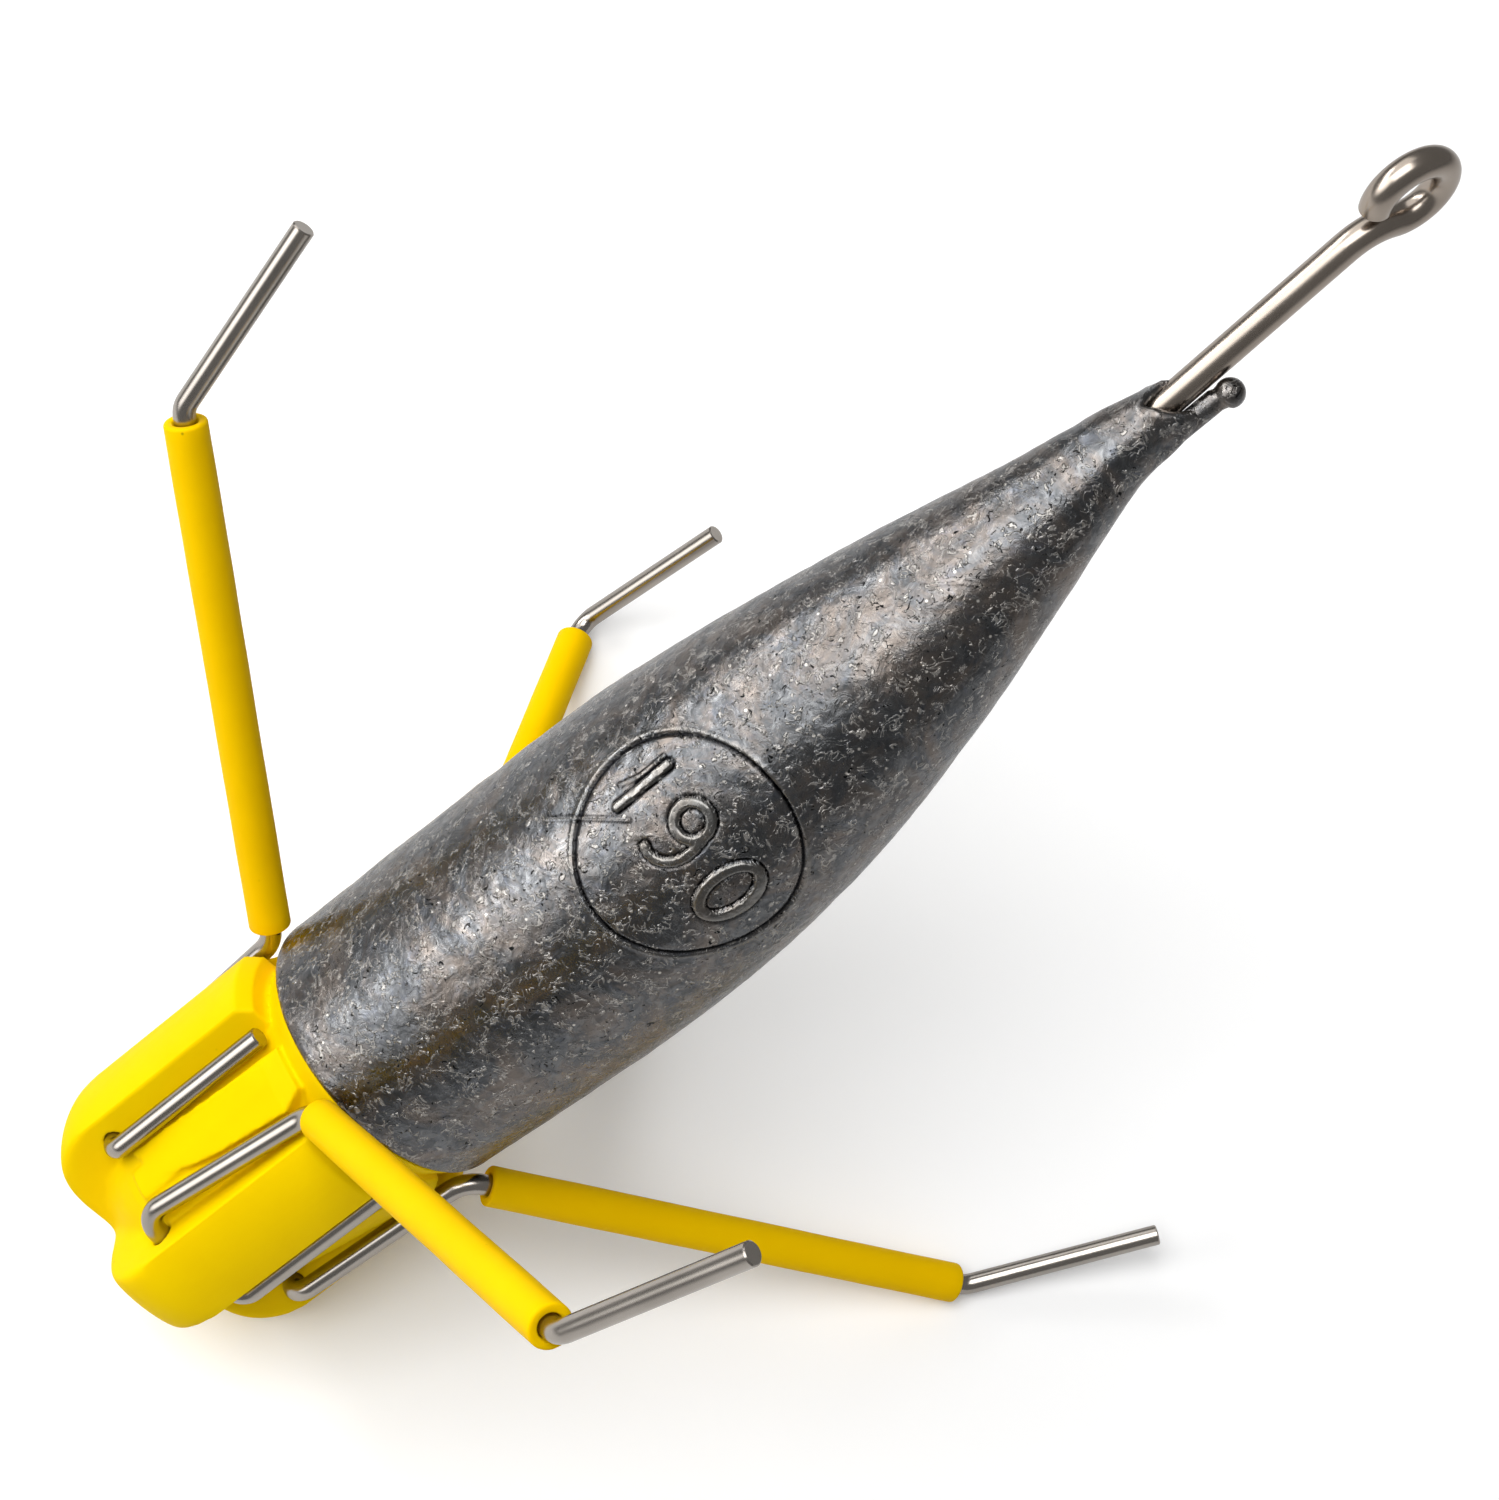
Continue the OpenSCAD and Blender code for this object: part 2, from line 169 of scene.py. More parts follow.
def cast_lead():
    """Gravity-cast lead: a dark crinkled skin with faint oxide tints, whose short curls and specks are
    painted bright as glints, and whose pits, grooves and base are painted dark as shade.
    """
    material, tree, shader, place = finish("cast_lead", Metallic=1.0)
    # the outline attribute is 1 on the raised figures, and below 0 in the grooves and seams: it carries
    # the painted highlight and painted shade of the mark
    relief = add(tree, "Attribute", {"attribute_name": "outline"}).outputs["Fac"]
    raised = ramp(tree, relief, [(0.1, 0), (0.5, 1)])
    plain = ramp(tree, relief, [(0.1, 1), (0.5, 0.12)])
    painted_shade = ramp(tree, times(tree, relief, -1), [(0.1, 0), (0.8, 1)])
    # the ground is a fine crinkle under broad darker clouds
    mottle = grain(tree, place, 5, 4, 0.6, 0.6)
    fine = grain(tree, place, 0.9, 5, 1.2, 0.7)
    body = ramp(tree, fine, [(0.34, "#4B4D4F"), (0.5, "#5D5E60"), (0.66, "#727374")])
    body = blend(tree, "MULTIPLY", 0.85, body, ramp(tree, mottle, [(0.34, 0.86), (0.66, 1.0)]))
    # oxide tints lie in small faint patches side by side
    warm = ramp(tree, grain(tree, place, 5.5, 5, 1.4, 0.7), [(0.44, 0), (0.62, 0.45)])
    body = blend(tree, "MIX", warm, body, hex_colour("#85776B"))
    blue = ramp(tree, grain(tree, place, 1.6, 4, 1.5, 0.7), [(0.54, 0), (0.7, 0.18)])
    body = blend(tree, "MIX", blue, body, hex_colour("#5C667C"))
    # short dashes where gas left the skin, painted near black with the shade inside these pits
    pit = ramp(tree, grain(tree, place, 0.7, 2, 2.0, 0.5), [(0.29, 1), (0.34, 0)])
    pit = times(tree, pit, plain)
    body = blend(tree, "MIX", pit, body, hex_colour("#161718"))
    # the creases of the skin are thin curls, some 1 mm long, painted bright as glints
    curls_and_glints = None
    for size, spread, width in ((0.9, 1.5, 0.026), (1.5, 2.5, 0.02)):
        line = ramp(tree, grain(tree, place, size, 1, spread), [
            (0.5 - 2 * width, 0), (0.5 - width, 1), (0.5 + width, 1), (0.5 + 2 * width, 0)])
        keep = ramp(tree, grain(tree, place, size * 0.9, 2, 0.6), [(0.545, 0), (0.6, 1)])
        line = times(tree, line, keep)
        curls_and_glints = line if curls_and_glints is None else blend(tree, "LIGHTEN", 1.0, curls_and_glints, line)
    curls_and_glints = times(tree, curls_and_glints, plain)
    body = blend(tree, "MIX", times(tree, curls_and_glints, 0.5), body, hex_colour("#B4B0AA"))
    # small bright dots, painted in as glints
    glint_specks = add(tree, "TexVoronoi", {"feature": "F1"},
                {"Vector": place, "Scale": per_mm(1.3), "Randomness": 1.0}).outputs["Distance"]
    glint_specks = ramp(tree, glint_specks, [(0.05, 1), (0.1, 0)])
    body = blend(tree, "MIX", glint_specks, body, hex_colour("#C6C2BB"))
    # the raised figures are painted a little paler, with a painted highlight on the lip of the ring and
    # on the threads, and painted shade darkens the grooves, the dips round the figures and the base of
    # the lead
    body = blend(tree, "MIX", times(tree, raised, 0.4), body, hex_colour("#827F79"))
    body = blend(tree, "MIX", painted_shade, body, hex_colour("#141416"))
    tree.links.new(body, shader.inputs["Base Color"])
    rough = ramp(tree, fine, [(0.3, 0.33), (0.7, 0.22)])
    tree.links.new(rough, shader.inputs["Roughness"])
    normal = bump(tree, grain(tree, place, 3.2, 3, 0.5), 0.2)
    # the curls and specks, painted pale as glints, are less metallic, so they stay pale away from the
    # lamps as well
    ridge = blend(tree, "LIGHTEN", 1.0, curls_and_glints, glint_specks)
    tree.links.new(ramp(tree, ridge, [(0, 1.0), (1, 0.7)]), shader.inputs["Metallic"])
    normal = bump(tree, curls_and_glints, 0.06, normal)
    normal = bump(tree, times(tree, fine, plain), 0.045, normal)
    normal = bump(tree, pit, -0.08, normal)
    tree.links.new(normal, shader.inputs["Normal"])
    return material


def drawn_steel(name, colour, rough):
    """Drawn stainless wire: a warm satin grey with a long clean highlight."""
    material, tree, shader, place = finish(name, Metallic=1.0)
    tone = ramp(tree, grain(tree, place, 4, 3, 0.3), [(0.35, 0.86), (0.7, 1.0)])
    body = blend(tree, "MULTIPLY", 1.0, hex_colour(colour), tone)
    tree.links.new(body, shader.inputs["Base Color"])
    shader.inputs["Roughness"].default_value = rough
    return material


def moulded_plastic(name, colour, shade, rough):
    """Injection-moulded yellow plastic: even and slightly soft, with faint handling marks."""
    material, tree, shader, place = finish(
        name, IOR=1.45, Specular_IOR_Level=0.02, Subsurface_Weight=0.04, Subsurface_Scale=0.001)
    tone = ramp(tree, grain(tree, place, 9, 3, 0.4), [(0.3, 0), (0.7, 1)])
    body = blend(tree, "MIX", tone, hex_colour(colour), hex_colour(shade))
    dust = add(tree, "TexVoronoi", {"feature": "F1"},
               {"Vector": place, "Scale": per_mm(2.6), "Randomness": 1.0}).outputs["Distance"]
    keep = ramp(tree, grain(tree, place, 4, 2), [(0.52, 0), (0.6, 0.6)])
    dust = times(tree, ramp(tree, dust, [(0.02, 1), (0.05, 0)]), keep)
    body = blend(tree, "MIX", dust, body, hex_colour("#7A6412"))
    tree.links.new(body, shader.inputs["Base Color"])
    shader.inputs["Subsurface Radius"].default_value = (1.0, 0.7, 0.1)
    tree.links.new(ramp(tree, grain(tree, place, 1.5, 3), [(0.3, rough), (0.7, rough + 0.12)]),
                   shader.inputs["Roughness"])
    normal = bump(tree, grain(tree, place, 2.4, 2), 0.025)
    tree.links.new(bump(tree, grain(tree, place, 0.3, 2), 0.006, normal), shader.inputs["Normal"])
    return material


LEAD = cast_lead()
TAIL_STEEL = drawn_steel("tail_wire_steel", "#A89D92", 0.24)
GRIP_STEEL = drawn_steel("grip_wire_steel", "#ADA69E", 0.22)
HEAD_PLASTIC = moulded_plastic("head_plastic", "#F8D200", "#F4CC00", 0.42)
SLEEVE_PLASTIC = moulded_plastic("sleeve_plastic", "#FACA00", "#F6C400", 0.38)


def edit(select="VERT"):
    """Opens the active piece for work on its points or faces."""
    bpy.ops.object.mode_set(mode="EDIT")
    bpy.ops.mesh.select_mode(type=select)


def leave():
    """Closes the piece that is open."""
    bpy.ops.object.mode_set(mode="OBJECT")


def only(piece):
    """Selects this piece alone and makes it active."""
    bpy.ops.object.select_all(action="DESELECT")
    piece.select_set(True)
    bpy.context.view_layer.objects.active = piece


def new_primitive(call, name, **where):
    """Adds one of Blender's own shapes under a name."""
    bpy.ops.object.select_all(action="DESELECT")
    call(**where)
    piece = bpy.context.object
    piece.name = name
    piece.data.name = name
    return piece


def set_place(piece, place):
    """Applies a place to the mesh, so that the object itself stays at the origin."""
    only(piece)
    piece.matrix_world = place @ piece.matrix_world
    bpy.ops.object.transform_apply(location=True, rotation=True, scale=True)


# points nearer to each other than this are one, in millimetres
MERGE = 0.002


def outward(piece):
    """Joins points that meet and turns the faces outward."""
    only(piece)
    edit()
    bpy.ops.mesh.select_all(action="SELECT")
    bpy.ops.mesh.remove_doubles(threshold=MERGE * MM)
    bpy.ops.mesh.normals_make_consistent(inside=False)
    leave()


def modify(piece, kind, **settings):
    """Adds a modifier and applies it."""
    only(piece)
    made = piece.modifiers.new(kind.title(), kind)
    for name, value in settings.items():
        setattr(made, name, value)
    bpy.ops.object.modifier_apply(modifier=made.name)


def turned(name, profile, steps, closed=False):
    """A shape turned about the z axis from (radius, height) points in millimetres."""
    piece = new_primitive(bpy.ops.mesh.primitive_circle_add, name, vertices=3, radius=MM)
    edit()
    bpy.ops.mesh.select_all(action="SELECT")
    bpy.ops.mesh.merge(type="CENTER")
    points = [Vector((r, 0, z)) * MM for r, z in profile]
    bpy.ops.transform.translate(value=points[0])
    for before, after in zip(points, points[1:] + (points[:1] if closed else [])):
        bpy.ops.mesh.extrude_region_move(TRANSFORM_OT_translate={"value": after - before})
    bpy.ops.mesh.select_all(action="SELECT")
    bpy.ops.mesh.remove_doubles(threshold=MERGE / 4 * MM)
    bpy.ops.mesh.select_all(action="SELECT")
    bpy.ops.mesh.spin(steps=steps, angle=2 * math.pi, center=(0, 0, 0), axis=(0, 0, 1))
    leave()
    outward(piece)
    return piece


# the longest step of a straight run of wire, the sides of a wire, and the bevel of its cut ends
STEP, WIRE_SIDES, CUT_BEVEL = 1.2, 48, 0.09


def stretch(way):
    """Extrudes the selection in short steps, because very long thin faces shade with grain."""
    steps = max(1, round(way.length / (STEP * MM)))
    for _ in range(steps):
        bpy.ops.mesh.extrude_region_move(TRANSFORM_OT_translate={"value": way / steps})


def bent_wire(name, points, bends, thickness):
    """A round wire through points, with a bend of the given radius at each point between."""
    points = [Vector(p) * MM for p in points]
    radius, trim = thickness / 2 * MM, CUT_BEVEL * MM
    ways = [(b - a).normalized() for a, b in zip(points, points[1:])]
    take = [0] + [r * MM * math.tan(a.angle(b) / 2)
                  for r, a, b in zip(bends, ways, ways[1:])] + [0]
    piece = new_primitive(
        bpy.ops.mesh.primitive_circle_add, name, vertices=WIRE_SIDES, radius=radius - trim,
        fill_type="NOTHING", location=points[0],
        rotation=ways[0].to_track_quat("Z", "Y").to_euler())
    bpy.ops.object.transform_apply(location=True, rotation=True, scale=True)
    edit()
    bpy.ops.mesh.select_all(action="SELECT")
    grow = radius / (radius - trim)
    here = points[0] + ways[0] * trim
    bpy.ops.mesh.extrude_region_move(TRANSFORM_OT_translate={"value": ways[0] * trim})
    bpy.ops.transform.resize(value=(grow, grow, grow), center_override=here)
    for i, way in enumerate(ways):
        there = points[i + 1] - way * (take[i + 1] if i + 1 < len(ways) else trim)
        stretch(there - here)
        here = there
        if i + 1 < len(ways):
            after = ways[i + 1]
            turn = way.angle(after)
            centre = here + (after - way * way.dot(after)).normalized() * bends[i] * MM
            # spin turns the other way round from the axis
            bpy.ops.mesh.spin(steps=max(6, round(math.degrees(turn) / 6)), angle=-turn,
                              center=centre, axis=way.cross(after).normalized())
            here = points[i + 1] + after * take[i + 1]
    bpy.ops.mesh.extrude_region_move(TRANSFORM_OT_translate={"value": ways[-1] * trim})
    bpy.ops.transform.resize(value=(1 / grow,) * 3, center_override=points[-1])
    bpy.ops.mesh.select_all(action="DESELECT")
    bpy.ops.mesh.select_non_manifold()
    bpy.ops.mesh.fill_holes(sides=0)
    leave()
    outward(piece)
    return piece


def smooth(piece, angle=35):
    """Shades a piece smooth, except where its faces meet at more than this angle."""
    only(piece)
    bpy.ops.object.shade_smooth_by_angle(angle=math.radians(angle))


def dress(piece, material, body, slot, *nodes):
    """Gives a piece its finish, the body that it moves with and the nodes that it stands for."""
    piece.data.materials.clear()
    piece.data.materials.append(material)
    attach(piece, body)
    if nodes:
        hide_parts(*nodes)


# the sprue: its side, its distance from the axis, the height and radius of its ball, its stem's radius
SPRUE_SIDE, SPRUE_OUT, SPRUE_Z, SPRUE_R, STEM_R = 290.3, 1.97, 74.15, 0.98, 0.76
# the middle of the mould's mark: its height and its angle round the lead
MARK_Z, MARK_SIDE = 31.4, 205.2
# the ring of the mark as seen square on: its middle and its radius
RING, RING_R = (-0.55, 0.42), 7.25


def lead_radius(z):
    """The radius of the lead at a height: a slightly swelling barrel, then the long curve of the tail."""
    if z < BELLY_Z:
        return BASE_R + (BELLY_R - BASE_R) * math.sin(math.pi / 2 * z / BELLY_Z)
    u = (z - BELLY_Z) / (LEAD_LEN - BELLY_Z)
    return TAIL_R + (BELLY_R - TAIL_R) * max(0, 1 - u * u) ** 1.4


def arc_points(centre, radii, start, end, count):
    """Points of an arc on the mark: along the lead and round it, in millimetres."""
    turns = [math.radians(start + (end - start) * i / count) for i in range(count + 1)]
    return [(centre[0] + radii[0] * math.cos(t), centre[1] + radii[1] * math.sin(t)) for t in turns]


# the strokes of the figures 1, 9 and 0, the plain weight in grams: a middle line and half a width
FIGURES = [
    ([(2.1, -4.47), (-2.3, -4.45)], 0.29),
    (arc_points((1.2, -0.78), (1.22, 1.22), 0, 360, 28), 0.35),
    ([(1.25, 0.44), (0.6, 0.6), (-0.1, 0.68), (-0.8, 0.66), (-1.4, 0.48), (-1.95, 0.1),
      (-2.28, -0.4), (-2.4, -0.95), (-2.25, -1.5)], 0.33),
    (arc_points((-0.32, 4.25), (2.28, 1.3), 0, 360, 36), 0.37),
]


# thin threads of metal that ran into scratches of the mould
SCRATCHES = [
    [(-6.97, -6.61), (-5.0, -5.47), (-3.38, -4.35), (-2.06, -3.35)],
    [(-1.36, -5.38), (0.09, -5.03), (2.12, -5.02)],
]

# how high or deep the lines of the mark are, and half of their width
GROOVE, GROOVE_W = 0.18, 0.12
LIP, LIP_W, LIP_OUT = 0.1, 0.13, 0.26
THREAD, THREAD_W, THREAD_END = 0.1, 0.09, 0.4
FIGURE = 0.24
# the lines of the mark end this far outside the ring, and the finer faces under them a little before
MARK_EDGE, MARK_FINE = 2.4, 2.2


def hump(x, middle, width):
    """A soft bump: one at its middle and nearly nothing two widths away."""
    return math.exp(-((x - middle) / width) ** 2)


def side_hump(side, middle, width):
    """The same round the lead, with angles in degrees."""
    return hump((side - middle + 180) % 360 - 180, 0, width)


def to_stroke(p, stroke):
    """The distance of a place on the mark from a stroke's middle line."""
    best = 99.0
    for a, b in zip(stroke, stroke[1:]):
        dx, dy = b[0] - a[0], b[1] - a[1]
        long = dx * dx + dy * dy
        share = 0 if long == 0 else max(0, min(1, ((p[0] - a[0]) * dx + (p[1] - a[1]) * dy) / long))
        best = min(best, math.hypot(p[0] - a[0] - share * dx, p[1] - a[1] - share * dy))
    return best


def mark_place(p):
    """A point of the lead as seen square on to the mark: along the lead, and across it."""
    side = (math.degrees(math.atan2(p.y, p.x)) - MARK_SIDE + 180) % 360 - 180
    if abs(side) > 80:
        return 99.0, 99.0
    return p.z - MARK_Z, math.sin(math.radians(side)) * lead_radius(p.z)


def relief(p):
    """How far the mark stands out of the lead at a point, in millimetres, and its outline: a tone that
    paints the figures paler, a highlight on the lip and threads, and shade in the grooves and dips.
    """
    along, across = mark_place(p)
    line = math.hypot(along - RING[0], across - RING[1]) - RING_R
    if line > MARK_EDGE:
        return 0.0, 0.0
    groove = hump(line, 0, GROOVE_W)
    # the lip stands outside the groove of the ring
    lip = hump(line, LIP_OUT, LIP_W)
    out = LIP * lip - GROOVE * groove
    # the lip carries a painted highlight and the groove a painted shade
    tone = 0.5 * lip - groove
    for scratch in SCRATCHES:
        gap = to_stroke((along, across), scratch)
        if gap < THREAD_END:
            thread = hump(gap, 0, THREAD_W)
            out += THREAD * thread
            # the thread carries a painted highlight, and a dark line of painted shade runs along both of
            # its sides
            tone += 0.5 * thread - 0.8 * hump(gap, 0.17, 0.07)
    if line < 0:
        gap, half = min((to_stroke((along, across), stroke) - half, half) for stroke, half in FIGURES)
        if gap < 0:
            # a figure is nearly flat on top, with rounded edges, and is painted a little paler
            share = (gap + half) / half
            out, tone = FIGURE * math.sqrt(1 - share ** 6), 1.0
        elif gap < 0.5:
            # the skin dips a little round each figure, and the dip is painted dark as shade
            dip = hump(gap, 0.06, 0.1)
            out -= 0.1 * dip
            tone -= 0.9 * dip
    return out, tone


# the length of the ragged end of the lead, and how near to the axis its metal comes
RAGGED, WIRE_CLEAR = 4, 1.02


def tail_rise(side):
    """How far the ragged end of the lead rises at an angle round it, in millimetres."""
    flap, notch, lip = side_hump(side, 122, 24), side_hump(side, 172, 16), side_hump(side, 272, 52)
    return 1.4 * flap - 0.4 * notch + 1.5 * lip


def bow(p):
    """The lead is not quite straight: its middle stands out to one side."""
    out = BOW * math.sin(math.pi * min(max(p.z, 0), LEAD_LEN) / LEAD_LEN)
    return Vector((math.cos(math.radians(BOW_SIDE)), math.sin(math.radians(BOW_SIDE)), 0)) * out


def cast_body():
    """The cast lead with the uneven skin of a metal mould and the mark of its weight."""
    rim = [(lead_radius(RIM_R) - RIM_R + RIM_R * math.cos(math.radians(a)),
            RIM_R + RIM_R * math.sin(math.radians(a))) for a in range(-90, 1, 15)]
    count = 200
    side = [(lead_radius(z), z) for z in
            (RIM_R + (LEAD_LEN - RIM_R) * i / count for i in range(1, count + 1))]
    # the tail ends in a thin rim round a shallow cup, from which the wire rises
    cup = [(r, LEAD_LEN + z) for r, z in
           ((1.9, 0.2), (1.6, 0.25), (1.35, 0), (1.2, -0.5), (1.12, -1.4), (0.9, -1.8), (0, -1.8))]
    lead = turned("lead_casting", [(0, 0), (4, 0), (8, 0)] + rim + side + cup, 192)
    only(lead)
    edit("FACE")
    bpy.ops.mesh.select_all(action="DESELECT")
    leave()
    for face in lead.data.polygons:
        p = face.center / MM
        # the faces under the mark are split finer, to carry its lines
        if 0.1 < p.z < LEAD_LEN and math.dist(mark_place(p), RING) < RING_R + MARK_FINE:
            face.select = True
    edit("FACE")
    bpy.ops.mesh.subdivide(number_cuts=2)
    leave()
    outline = lead.data.attributes.new("outline", "FLOAT", "POINT")
    for vertex in lead.data.vertices:
        p = vertex.co / MM
        out = Vector((p.x, p.y, 0))
        if out.length < 1:
            continue
        uneven = 0.07 * noise.noise(p / 6) + 0.05 * noise.noise(p / 2.2) + 0.025 * noise.noise(p / 0.9)
        raised, tone = relief(p)
        # the lowest half millimetre is painted dark, a painted shadow where the lead sits on the collar
        # of the head
        if p.z < 0.5:
            tone = -0.8 * (1 - p.z / 0.5)
        outline.data[vertex.index].value = tone
        side = math.degrees(math.atan2(p.y, p.x))
        # nothing below the ragged end, one at the end of the lead
        top = min(1.1, max(0, (p.z - LEAD_LEN + RAGGED) / RAGGED) ** 2)
        # a ridge of flash lies under the sprue
        flash = 0.35 * side_hump(side, 282, 16) * hump(p.z, 69, 1.6)
        # the flap on the left leans on the wire, but doesn't reach into it
        flap = max(-0.75 * side_hump(side, 118, 34) * top, WIRE_CLEAR - out.length)
        spread = out.normalized() * (uneven + raised + flash + flap)
        rise = Vector((0, 0, tail_rise(side) * top))
        vertex.co += (spread + rise + bow(p)) * MM
    return lead


def cast_tail(lead):
    """The sprue stub beside the wire, where the metal ran in, with its round end."""
    turns = [math.radians(a) for a in range(-40, 90, 8)]
    ball = [(SPRUE_R * math.cos(t), SPRUE_R * math.sin(t)) for t in turns]
    stem = [(STEM_R, -5 + 0.4 * i) for i in range(11)]
    stub = turned("sprue_stub", [(0, -5)] + stem + ball + [(0, SPRUE_R)], 40)
    for vertex in stub.data.vertices:
        # the stem is off the middle of its ball, flush with it on the side of the wire
        below = max(0, min(1, (-vertex.co.z / MM - 0.4) / 0.5))
        vertex.co.x -= (SPRUE_R - STEM_R) * MM * below
    set_place(stub, turn_z(SPRUE_SIDE) @ Matrix.Translation(Vector((SPRUE_OUT, 0, SPRUE_Z)) * MM))
    modify(lead, "BOOLEAN", operation="UNION", object=stub, solver="EXACT")
    bpy.data.objects.remove(stub)


lead = cast_body()
cast_tail(lead)
set_place(lead, ON_LEAD)
smooth(lead, 60)
dress(lead, LEAD, "sinker", "cast_lead", "lead_body")


def slab(name, corners, down):
    """A solid whose upper face has these corners, in millimetres, and that reaches down by a vector."""
    piece = new_primitive(bpy.ops.mesh.primitive_circle_add, name, vertices=len(corners), radius=MM,
                          fill_type="NGON")
    for vertex, corner in zip(piece.data.vertices, corners):
        vertex.co = Vector(corner) * MM
    edit("FACE")
    bpy.ops.mesh.select_all(action="SELECT")
    bpy.ops.mesh.extrude_region_move(TRANSFORM_OT_translate={"value": Vector(down) * MM})
    leave()
    outward(piece)
    return piece


# the face between two lobes, in millimetres: the height of its crest, how far out it is there, how it
# falls away towards the nose and the collar, how round it is across, and how thick its slabs are
CREST_Z, CREST_OUT, NOSE_FALL, COLLAR_FALL, ROUND, SLAB = -3.3, 9.82, 0.095, 0.3, 0.02, 4


def slot_face(k):
    """The raised floor between two lobes: a broad face whose upper end stands up as a wedge."""
    def at(z, y, proud=0):
        rise = z - CREST_Z
        fall = NOSE_FALL if rise < 0 else -COLLAR_FALL
        return CREST_OUT + proud + rise * fall - ROUND * y * y, y, z
    down = (-SLAB, 0, 0)
    floor_part = slab("slot_floor", [at(z, y) for z, y in [
        (-3.34, 0.2), (-1.9, 1.75), (-1.9, -1.45), (-5.4, -1.45), (-9.1, -1.75), (-12.9, -2.1),
        (-16.5, -2.3), (-15, 0.2)]], down)
    # the wedge stands a hair proud, so that the two slabs don't share a face
    crest = [at(-3.34, 0.15, 0.02), at(-3.35, 2.75, 0.02)]
    wedge = slab("slot_wedge", crest + [at(z, y, 0.02) for z, y in [
        (-9.95, 1.87), (-12.5, 1.3), (-15, 0.3)]], down)
    # a facet falls from the crest to a point beside the collar
    end = slab("slot_end", crest + [(9.3, 1.8, -1.85)], down)
    for piece in (floor_part, wedge, end):
        set_place(piece, turn_z(90 * k))
    return [floor_part, wedge, end]


# the outline of the collar that flares out under the lead: radius and height
COLLAR = [(0, -3), (8.4, -3), (8.7, -2.2), (9.15, -1.3), (9.65, -0.5), (9.95, 0.12), (0, 0.12)]
# the smoothing of the nose starts at one height and is full at the next, in this many rounds
NOSE_START, NOSE_FULL, NOSE_ROUNDS = -18.2, -20.7, 140
# the grain of the mesh that joins the head with its collar and slot faces
VOXEL = 0.16


def moulded_head():
    """The head with its flared collar, slot faces and the soft edges of a moulding."""
    head = frame["nodes"]["nose_head"].copy()
    head.data = head.data.copy()
    bpy.context.scene.collection.objects.link(head)
    head.name = "moulded_head"
    head.data.name = "moulded_head"
    head.parent = None
    # the copy is a piece of its own, so it drops the marks of the CAD node
    for key in [k for k in head.keys() if k.startswith("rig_")]:
        del head[key]
    set_place(head, LAY.inverted())
    outward(head)
    collar = turned("collar", COLLAR, 128)
    parts = [collar] + [piece for k in range(4) for piece in slot_face(k)]
    bpy.ops.object.select_all(action="DESELECT")
    for piece in parts + [head]:
        piece.select_set(True)
    bpy.context.view_layer.objects.active = head
    bpy.ops.object.join()
    modify(head, "REMESH", mode="VOXEL", voxel_size=VOXEL * MM, adaptivity=0)
    modify(head, "SMOOTH", factor=0.5, iterations=2)
    nose = head.vertex_groups.new(name="nose")
    for vertex in head.data.vertices:
        share = (NOSE_START - vertex.co.z / MM) / (NOSE_START - NOSE_FULL)
        nose.add([vertex.index], max(0, min(1, share)), "REPLACE")
    modify(head, "SMOOTH", factor=0.5, iterations=NOSE_ROUNDS, vertex_group="nose")
    set_place(head, LAY)
    return head


head = moulded_head()
smooth(head, 60)
dress(head, HEAD_PLASTIC, "sinker", "yellow_plastic", "nose_head")


def eyed_wire():
    """The tail wire from inside the lead to its eye: straight, a neck bend, then the open loop."""
    # the middle line's radii at the neck and the eye, the gap at the cut end, and its bevel
    neck_r, eye_r, gap, trim, trim_share = 3.7, 2.5, 0.25, 0.25, 0.76
    # the straight length above the lead, and how much of it is drawn inside
    free, inside = 15.1, 3
    rise = math.sqrt(eye_r ** 2 + 2 * eye_r * neck_r)
    neck_turn = math.acos(neck_r / (neck_r + eye_r))
    reach = neck_r + TAIL_WIRE_D + gap
    level = (2 * eye_r ** 2 + neck_r ** 2 + 2 * eye_r * neck_r - reach ** 2) / (2 * eye_r)
    loop = 2 * math.pi - math.acos(level / (neck_r + eye_r))
    eye = Vector((0, 0, free + rise)) * MM
    piece = new_primitive(bpy.ops.mesh.primitive_circle_add, "eyed_wire", vertices=WIRE_SIDES,
                          radius=TAIL_WIRE_D / 2 * MM, fill_type="NOTHING", location=(0, 0, -inside * MM))
    bpy.ops.object.transform_apply(location=True, rotation=True, scale=True)
    edit()
    bpy.ops.mesh.select_all(action="SELECT")
    stretch(Vector((0, 0, inside + free)) * MM)
    # spin turns the other way round from the axis
    bpy.ops.mesh.spin(steps=10, angle=-neck_turn, center=Vector((neck_r, 0, free)) * MM, axis=(0, 1, 0))
    bpy.ops.mesh.spin(steps=64, angle=-loop, center=eye, axis=(0, -1, 0))
    leave()
    ring = [vertex.co for vertex in piece.data.vertices if vertex.select]
    end = sum(ring, Vector()) / len(ring)
    way = Vector((0, -1, 0)).cross(end - eye).normalized() * trim * MM
    # the cut end is bevelled
    edit()
    bpy.ops.mesh.extrude_region_move(TRANSFORM_OT_translate={"value": way})
    bpy.ops.transform.resize(value=(trim_share,) * 3, center_override=end + way)
    bpy.ops.mesh.select_all(action="DESELECT")
    bpy.ops.mesh.select_non_manifold()
    bpy.ops.mesh.fill_holes(sides=0)
    leave()
    outward(piece)
    return piece


wire = eyed_wire()
set_place(wire, ON_LEAD @ Matrix.Translation((0, 0, LEAD_LEN * MM)) @ lean(*WIRE_LEAN) @ turn_z(EYE_TURN))
smooth(wire)
dress(wire, TAIL_STEEL, "sinker", "stainless_wire", "tail_wire")


